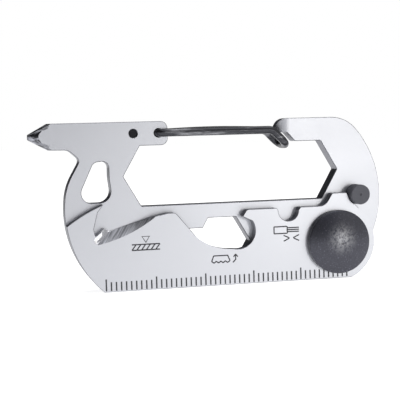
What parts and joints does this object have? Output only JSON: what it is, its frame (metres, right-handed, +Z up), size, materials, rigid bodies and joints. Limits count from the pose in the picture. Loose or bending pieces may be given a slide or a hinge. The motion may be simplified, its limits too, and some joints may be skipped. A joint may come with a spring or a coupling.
{
  "type": "carabiner multi-tool",
  "caption": "Pocket carabiner multi-tool: steel frame with cross-point driver, spanner jaw and wire gate, and a pivoting lever with ruler edge, cutters and bottle opener.",
  "frame": {"origin": "middle of the bounding box, at the height of the ruler edge the tool stands on", "axes": "+X along the tool from the driver tip to the heel, +Z up from the ruler edge, -Y towards the lever and the knob"},
  "size_m": [0.0724, 0.0102, 0.0332],
  "materials": {
    "frame_steel": "fine bead-blasted stainless steel",
    "lever_steel": "fine bead-blasted stainless steel with ground bevels",
    "gate_wire": "black oxide spring wire, semi-gloss",
    "post_steel": "turned stainless steel",
    "washer_bronze": "plain bronze",
    "spring_steel": "tempered spring steel",
    "knob_dark": "matte, finely textured dark grey",
    "insert_brass": "turned brass",
    "sleeve_rubber": "matte dark grey"
  },
  "bodies": {
    "frame": {"frame_plate": "frame_steel", "gate_tail": "gate_wire", "pivot_post": "post_steel", "thrust_washer": "washer_bronze", "cone_washer": "spring_steel", "pivot_knob": "knob_dark", "knob_insert": "insert_brass", "stop_pin": "post_steel", "stop_sleeve": "sleeve_rubber"},
    "lever": {"lever_plate": "lever_steel"},
    "gate": {"wire_gate": "gate_wire"}
  },
  "joints": [
    {"name": "lever_pivot", "type": "hinge", "parent": "frame", "child": "lever", "pos_m": [0.0258, -0.001, 0.0076], "axis": [0, -1, 0], "range_deg": [0, 177]},
    {"name": "gate_hinge", "type": "hinge", "parent": "frame", "child": "gate", "pos_m": [-0.0106, 0.0017, 0.03088], "axis": [0, 1, 0], "range_deg": [0, 22], "stiffness_Nm_per_rad": 0.05, "springref_deg": -8.59}
  ]
}
